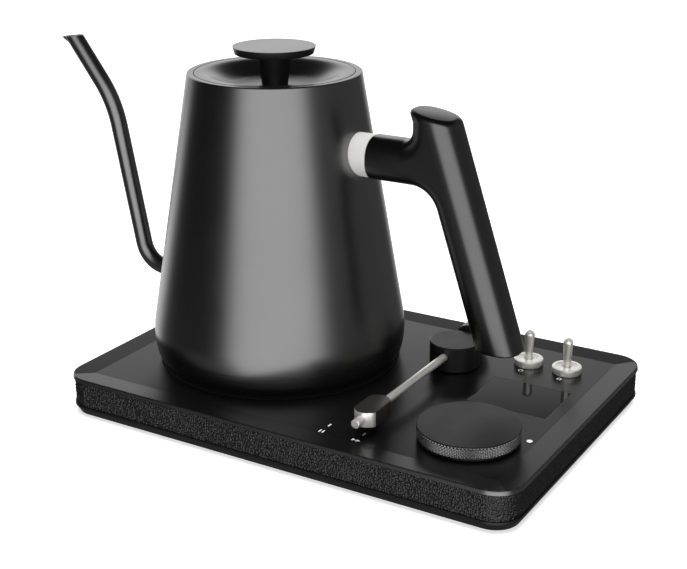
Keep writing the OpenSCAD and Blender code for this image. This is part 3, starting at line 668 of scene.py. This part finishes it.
def make_leather():
    """The band round the base, with real pebbles, pulled in at its edges and closed at its back."""
    low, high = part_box("leather_wrap")
    places, outward, run, length = perimeter(high.x - low.x, high.y - low.y, LEATHER_STEP)
    foot, top = low.z + LEATHER_GAP, high.z - LEATHER_GAP
    heights = np.linspace(foot, top, LEATHER_ROWS)
    field = pebbles(run, heights, length)

    def row(z, offset):
        xy = places + outward * np.reshape(offset, (-1, 1))
        return np.column_stack([xy, np.full(len(xy), z)])

    rows = [row(foot, LEATHER_BACK)]
    for i, z in enumerate(heights):
        edge = min(z - foot, top - z)
        bulge = LEATHER_BULGE * min(1.0, edge / LEATHER_BULGE_RUN) ** 0.5
        share = min(1, LEATHER_EDGE_RELIEF + edge / LEATHER_RELIEF_RUN)
        rows.append(row(z, LEATHER_RELIEF * (field[i] - 1) * share + bulge))
    rows.append(row(top, LEATHER_BACK))
    piece = grid_mesh("leather_band", rows, close_rows=True)
    clean(piece)
    smooth(piece, angle=80)
    piece.data.materials.append(FINISH["leather_black"])
    hole_for_gland(piece)
    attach(piece, "base")
    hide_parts("leather_wrap")


# ---------------------------------------------------------------- dial

KNURL_COUNT = 92
KNURL_ROWS = 4
KNURL_SAMPLES = 6  # mesh steps across one diamond
KNURL_FADE = 3  # mesh steps over which the diamonds run out at the ring's edges
KNURL_DEPTH = 0.85 * MM
KNURL_WALL = 1.6 * MM


def make_knurl():
    """The dial's grip ring, with real diamonds."""
    low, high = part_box("dial_grip_ring")
    outer = (high.x - low.x) / 2
    inner = outer - KNURL_WALL
    root = outer - KNURL_DEPTH
    columns = KNURL_COUNT * KNURL_SAMPLES
    steps = KNURL_ROWS * KNURL_SAMPLES
    pitch = np.arange(columns) / KNURL_SAMPLES
    turn = pitch / KNURL_COUNT * 2 * math.pi

    def saw(x):
        return np.abs((x % 1.0) * 2 - 1)

    def row(radius, z):
        x = DIAL.x + radius * np.cos(turn)
        y = DIAL.y + radius * np.sin(turn)
        return np.column_stack([x, y, np.full(columns, z)])

    rows = [row(inner, low.z), row(root, low.z)]
    for k in range(steps + 1):
        v = k / KNURL_SAMPLES
        height = (saw(pitch + v) + saw(pitch - v)) / 2
        fade = min(1.0, k / KNURL_FADE, (steps - k) / KNURL_FADE)
        z = low.z + (high.z - low.z) * k / steps
        rows.append(row(outer - KNURL_DEPTH * (1 - height * fade), z))
    rows += [row(root, high.z), row(inner, high.z)]
    piece = grid_mesh("dial_knurled_ring", rows, close_rows=True)
    clean(piece)
    smooth(piece, angle=20)
    piece.data.materials.append(FINISH["knurl_black"])
    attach(piece, "dial")
    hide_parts("dial_grip_ring")


# ---------------------------------------------------------------- handle

# UP is a height over the panel. A pair is the distance ahead of the kettle's axis, and UP.
GRIP_LEAN = math.radians(18.53)
GRIP_REF = (114.86 * MM, 80.1 * MM)
GRIP_DEPTH = 11.2 * MM
GRIP_WIDTH = 11.6 * MM
GRIP_ROUND = 9.9 * MM
GRIP_SLICES = 29
ARM_UP = 118.3 * MM
ARM_R = 11.1 * MM
ARM_BEVEL = 0.35 * MM
TOP_PLACE = (94.6 * MM, 143.9 * MM)
TOP_TILT = math.radians(10.3)
TOP_BEVEL = 2.6 * MM
TOP_FILLET = 6 * MM
SHOULDER_UP = 141 * MM
SHOULDER_FILLET = 4 * MM
UNDER_FILLET = 15 * MM
FOOT_UP = 28.4 * MM
FOOT_BEVEL = 1.0 * MM
BEVEL_SEGMENTS = 6
GRIP_SPARE = 30 * MM  # grip beyond its cuts
ARM_SPARE = 20 * MM  # arm beyond its cut
MITRE_LIMIT = 0.5  # at a sharp bend the section widens to twice its size at most


def handle_core(start_x):
    """The handle's middle line as a thin closed outline in x and z: the arm's and the grip's."""
    bar = ARM_R - GRIP_ROUND
    half = (GRIP_DEPTH - GRIP_ROUND) / math.cos(GRIP_LEAN)
    arm = PANEL_Z + ARM_UP

    def grip_x(z):
        return KETTLE.x + GRIP_REF[0] + (PANEL_Z + GRIP_REF[1] - z) * math.tan(GRIP_LEAN)

    low = PANEL_Z + FOOT_UP - GRIP_SPARE
    high = PANEL_Z + TOP_PLACE[1] + GRIP_SPARE
    shoulder = PANEL_Z + SHOULDER_UP
    shoulder_x = grip_x(shoulder) - half
    start = start_x - ARM_SPARE
    corners_and_radii = (
        ((start, arm - bar), 0),
        ((grip_x(arm - bar) - half, arm - bar), UNDER_FILLET + GRIP_ROUND),
        ((grip_x(low) - half, low), 0),
        ((grip_x(low) + half, low), 0),
        ((grip_x(high) + half, high), 0),
        ((grip_x(high) - half, high), 0),
        ((shoulder_x, shoulder), SHOULDER_FILLET),
        ((shoulder_x, arm + bar), TOP_FILLET + GRIP_ROUND),
        ((start, arm + bar), 0))
    corners, radii = zip(*corners_and_radii)
    return np.array(rounded(corners, radii, steps=14, closed=True))


def cut(bm, place, normal, radius):
    """Cuts away what lies beyond a plane, closes the cut flat and rounds its edge."""
    geometry = bm.verts[:] + bm.edges[:] + bm.faces[:]
    done = bmesh.ops.bisect_plane(bm, geom=geometry, plane_co=place, plane_no=normal,
                                  clear_outer=True)
    edges = [g for g in done["geom_cut"] if isinstance(g, bmesh.types.BMEdge)]
    filled = bmesh.ops.contextual_create(bm, geom=edges)
    border = list({e for f in filled["faces"] for e in f.edges})
    bmesh.ops.bevel(bm, geom=border, offset=radius, segments=BEVEL_SEGMENTS, profile=0.5,
                    affect="EDGES", clamp_overlap=False)


def make_handle():
    """The arm and the slanted grip in one shell: the core swept sideways over a rounded section."""
    start_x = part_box("handle_grip")[0].x
    core = handle_core(start_x)
    ahead = unit(np.roll(core, -1, axis=0) - core)
    behind = unit(core - np.roll(core, 1, axis=0))
    outward = unit(to_the_right(ahead) + to_the_right(behind))
    stretch = 1 / np.clip(np.sum(outward * to_the_right(ahead), axis=1), MITRE_LIMIT, 1)
    flat = GRIP_WIDTH - GRIP_ROUND
    rows = []
    for angle in np.linspace(-90, 90, GRIP_SLICES):
        c, s = math.cos(math.radians(angle)), math.sin(math.radians(angle))
        side = math.copysign(GRIP_ROUND * abs(s) + flat, s) if abs(s) > TINY else 0
        xz = core + outward * (GRIP_ROUND * max(c, 0) * stretch)[:, None]
        rows.append(np.column_stack([xz[:, 0], np.full(len(core), KETTLE.y + side), xz[:, 1]]))
    piece = grid_mesh("handle_shell", rows)
    top = (KETTLE.x + TOP_PLACE[0], 0, PANEL_Z + TOP_PLACE[1])
    foot = (0, 0, PANEL_Z + FOOT_UP)
    with edited(piece) as bm:
        cap_ends(bm, len(rows), len(core))
        cut(bm, top, (math.sin(TOP_TILT), 0, math.cos(TOP_TILT)), TOP_BEVEL)
        cut(bm, foot, (0, 0, -1), FOOT_BEVEL)
        cut(bm, (start_x, 0, 0), (-1, 0, 0), ARM_BEVEL)
        bmesh.ops.recalc_face_normals(bm, faces=bm.faces)
    smooth(piece, angle=32)
    piece.data.materials.append(FINISH["handle_black"])
    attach(piece, "kettle")
    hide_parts("handle_grip")


# ---------------------------------------------------------------- marks printed on the panel

MARK_LIFT = 0.03 * MM
MARK_INK = 0.02 * MM
MARK_ROW = -65.8 * MM
SIGN_ROW = MARK_ROW - 7.4 * MM
LEFT_MARK = -19.2 * MM  # from the arm's pivot
RIGHT_MARK = 0.2 * MM
TICK = (0.75 * MM, 3.0 * MM)
SIGN_BAR = (0.7 * MM, 2.6 * MM)
SIGN_BAR_OFF = 0.9 * MM
ARROW_OFF = 1.2 * MM
ARROW_HALF = (1.1 * MM, 1.2 * MM)
TOGGLE_SIGN_OFF = 10.5 * MM
TOGGLE_RING = (1.3 * MM, 1.05 * MM)
TOGGLE_BAR = (1.8 * MM, 0.25 * MM)
RING_STEPS = 40


def patch(bm, outline):
    z = PANEL_Z + MARK_LIFT
    bm.faces.new([bm.verts.new((x, y, z)) for x, y in outline])


def bar(bm, x, y, size):
    w, h = size[0] / 2, size[1] / 2
    patch(bm, [(x - w, y - h), (x + w, y - h), (x + w, y + h), (x - w, y + h)])


def arrowhead(bm, x, y):
    w, h = ARROW_HALF
    patch(bm, [(x - w, y - h), (x + w, y), (x - w, y + h)])


def ring(bm, x, y, outer, inner):
    for k in range(RING_STEPS):
        a, b = (2 * math.pi * (k + j) / RING_STEPS for j in (0, 1))
        corners = ((inner, a), (outer, a), (outer, b), (inner, b))
        patch(bm, [(x + r * math.cos(t), y + r * math.sin(t)) for r, t in corners])


def make_marks():
    """A tick and a plain sign at each of the arm's end positions, and one sign at each toggle."""
    left, right = PIVOT.x + LEFT_MARK, PIVOT.x + RIGHT_MARK
    bm = bmesh.new()
    bar(bm, left, MARK_ROW, TICK)
    bar(bm, right, MARK_ROW, TICK)
    for side in (-1, 1):
        bar(bm, left + side * SIGN_BAR_OFF, SIGN_ROW, SIGN_BAR)
        arrowhead(bm, right + side * ARROW_OFF, SIGN_ROW)
    nuts = [centre_of("toggle_nut_%d" % k) for k in (1, 2)]
    for nut in nuts:
        ring(bm, nut.x, nut.y - TOGGLE_SIGN_OFF, *TOGGLE_RING)
    bar(bm, nuts[1].x, nuts[1].y - TOGGLE_SIGN_OFF, TOGGLE_BAR)
    solid = bmesh.ops.extrude_face_region(bm, geom=bm.faces[:])
    moved = [g for g in solid["geom"] if isinstance(g, bmesh.types.BMVert)]
    bmesh.ops.translate(bm, verts=moved, vec=(0, 0, -MARK_INK))
    bmesh.ops.recalc_face_normals(bm, faces=bm.faces)
    mesh = bpy.data.meshes.new("panel_marks")
    bm.to_mesh(mesh)
    bm.free()
    piece = link("panel_marks", mesh)
    piece.data.materials.append(FINISH["lens_white"])
    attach(piece, "base")


# ---------------------------------------------------------------- edges of the plate and the trim

EDGE_SKIN = 0.06 * MM  # how far a bead stands outside the part it covers
BEAD_STEP = 1.0 * MM
BEAD_SEGMENTS = 12
BEAD_TUCK = 0.35 * MM  # how far the bead's foot reaches in under it
BEAD_FOOT_FLARE = 0.7  # share of the flare that is left at the very foot
BEAD_FOOT = 0.12 * MM
BEAD_BACK = 0.3 * MM  # how far the bead's inner side stops short of its top and foot
PLATE_RISE = 0.01 * MM
PLATE_FOOT_GAP = 0.02 * MM
TRIM_HEIGHT = 1.3 * MM


def edge_bead(name, top, foot, depth, height, inner, flare):
    """A bead round the base's outline whose upper edge is an oval quarter, depth by height."""
    places, outward, _, _ = perimeter(BASE_SIZE.x, BASE_SIZE.y, BEAD_STEP)
    profile = [(-BEAD_TUCK, foot), (flare * BEAD_FOOT_FLARE, foot), (flare, foot + BEAD_FOOT)]
    for c, s in quarter(BEAD_SEGMENTS):
        profile.append((EDGE_SKIN - depth * (1 - c), top - height * (1 - s)))
    profile += [(-inner, top - BEAD_BACK), (-inner, foot + BEAD_BACK)]
    rows = []
    for offset, z in profile:
        rows.append(np.column_stack([places + outward * offset, np.full(len(places), z)]))
    piece = grid_mesh(name, rows, close_rows=True)
    clean(piece)
    smooth(piece, angle=30)
    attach(piece, "base")
    return piece


def paint_light_by_facing(piece, top, side, upward):
    """One finish on faces that look up by more than upward, another on the rest. The split paints
    light and shade by which way a face looks.
    """
    piece.data.materials.append(FINISH[side])
    piece.data.materials.append(FINISH[top])
    for face in piece.data.polygons:
        face.material_index = int(face.normal.z > upward)


def make_edges():
    """The top plate's and the bottom trim's outer edges, rounded as finished parts are."""
    low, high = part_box("leather_wrap")
    piece = edge_bead("plate_edge_bead", EDGE_Z + PLATE_RISE, high.z + PLATE_FOOT_GAP,
                      depth=0.45 * MM, height=0.9 * MM, inner=1.0 * MM, flare=0.26 * MM)
    # Painted shade and highlight: faces that look up take the panel's dull black so the rounded top
    # shows no reflection line, and the rest take the shiny body finish so the corner shows a bright
    # highlight.
    paint_light_by_facing(piece, "plate_black", "body_black", upward=0.75)
    piece = edge_bead("trim_edge_bead", low.z, low.z - TRIM_HEIGHT,
                      depth=0.42 * MM, height=0.42 * MM, inner=0.9 * MM, flare=EDGE_SKIN)
    piece.data.materials.append(FINISH["trim_black"])


# ---------------------------------------------------------------- headshell

HEAD_SIDE = 8.3 * MM  # half the length of the straight sides
HEAD_TIP = 0.8 * MM  # how far the sharp tips would stand past the box, before rounding
HEAD_TIP_ROUND = 5.5 * MM
HEAD_SIDE_ROUND = 3.6 * MM
HEAD_EDGE = 0.35 * MM
HEAD_EDGE_STEPS = 4
HEAD_HIGHLIGHT_REACH = 0.8 * MM  # how far the painted highlight on the nose reaches back along the sides
HIGHLIGHT_UPRIGHT = 0.5  # a face with the painted highlight has a normal less steep than this
HIGHLIGHT_AHEAD = -0.3  # and points further ahead than this


def make_headshell():
    """The arm's cartridge-shaped head: dark body, small rounded edges, and a bright nickel finish
    on the upright faces of its nose that look ahead, as a painted highlight.
    """
    low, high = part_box("headshell")
    x, y = (low.x + high.x) / 2, (low.y + high.y) / 2
    half_w, half_l = (high.x - low.x) / 2, (high.y - low.y) / 2
    tip = half_l + HEAD_TIP
    corners = [(0, -tip), (half_w, -HEAD_SIDE), (half_w, HEAD_SIDE),
               (0, tip), (-half_w, HEAD_SIDE), (-half_w, -HEAD_SIDE)]
    radii = [HEAD_TIP_ROUND, HEAD_SIDE_ROUND, HEAD_SIDE_ROUND] * 2
    outline = np.array(rounded(corners, radii, steps=10, closed=True))
    outward = to_the_right(unit(np.roll(outline, -1, axis=0) - np.roll(outline, 1, axis=0)))

    def row(inset, z):
        xy = outline - outward * inset
        return np.column_stack([x + xy[:, 0], y + xy[:, 1], np.full(len(xy), z)])

    arc = quarter(HEAD_EDGE_STEPS)
    rows = [row(HEAD_EDGE * (1 - s), low.z + HEAD_EDGE * (1 - c)) for c, s in arc]
    rows += [row(HEAD_EDGE * (1 - c), high.z - HEAD_EDGE * (1 - s)) for c, s in arc]
    piece = grid_mesh("headshell_block", rows)
    highlight_y = y - HEAD_SIDE + HEAD_HIGHLIGHT_REACH
    with edited(piece) as bm:
        cap_ends(bm, len(rows), len(outline))
        # Painted highlight: the upright faces at the nose that look ahead take the bright nickel
        # finish.
        for face in bm.faces:
            ahead = face.calc_center_median().y < highlight_y
            upright = abs(face.normal.z) < HIGHLIGHT_UPRIGHT
            face.material_index = int(ahead and upright and face.normal.y < HIGHLIGHT_AHEAD)
    smooth(piece, angle=32)
    piece.data.materials.append(FINISH["gunmetal"])
    piece.data.materials.append(FINISH["nickel"])
    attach(piece, "arm")
    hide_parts("headshell")


# ---------------------------------------------------------------- lid knob and toggle nuts

def make_lid_knob():
    """The knob's disc, a little narrower at its foot, with a shallow hollow round the stem."""
    low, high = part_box("lid_knob")
    r = (high.x - low.x) / 2
    foot, brow, rim_z = r - 1.1 * MM, r - 0.6 * MM, high.z - 0.1 * MM
    hollow_r, hollow_z = 7.5 * MM, low.z + 0.6 * MM
    hollow_edge = 8.0 * MM
    points_and_radii = (
        ((0, hollow_z), 0),
        ((hollow_r, hollow_z), 0.3 * MM),
        ((hollow_edge, low.z), 0),
        ((foot, low.z), 0.7 * MM),
        ((r, rim_z), 0),
        ((r, high.z), 0.35 * MM),
        ((brow, high.z), 0),
        ((0, high.z), 0))
    outline = rounded(*zip(*points_and_radii), steps=6)
    piece = lathe("lid_knob_cap", outline, KETTLE.x, KETTLE.y, closed=False)
    # Painted shade: the faces that look up keep the shiny body finish and the sides take the darker
    # control finish, so the sides read dark.
    paint_light_by_facing(piece, "body_black", "control_black", upward=0.7)
    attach(piece, "lid")
    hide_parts("lid_knob")


def make_toggle_nuts():
    """Dress nuts with a rounded rim and a step down to the lever's hole."""
    for k in (1, 2):
        node = "toggle_nut_%d" % k
        low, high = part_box(node)
        x, y, r = (low.x + high.x) / 2, (low.y + high.y) / 2, (high.x - low.x) / 2
        step, lip = high.z - 0.18 * MM, high.z - 0.55 * MM
        wall, hole, slope = r - 2 * MM, r - 5.4 * MM, 0.1 * MM
        points_and_radii = (
            ((wall, low.z), 0),
            ((r, low.z), 0.25 * MM),
            ((r, high.z), 0.4 * MM),
            ((wall + slope, high.z), 0.05 * MM),
            ((wall - slope, step), 0.05 * MM),
            ((hole, step), 0.1 * MM),
            ((hole, lip), 0),
            ((wall, lip), 0))
        outline = rounded(*zip(*points_and_radii), steps=5)
        piece = lathe("toggle_nut_ring_%d" % k, outline, x, y)
        piece.data.materials.append(FINISH["nickel"])
        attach(piece, "base")
        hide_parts(node)


make_camera()
make_floor()
make_world()
make_lamp()
bpy.context.scene.view_settings.view_transform = "Standard"
make_lid_knob()
make_toggle_nuts()
make_leather()
make_edges()
make_knurl()
make_handle()
make_headshell()
make_marks()
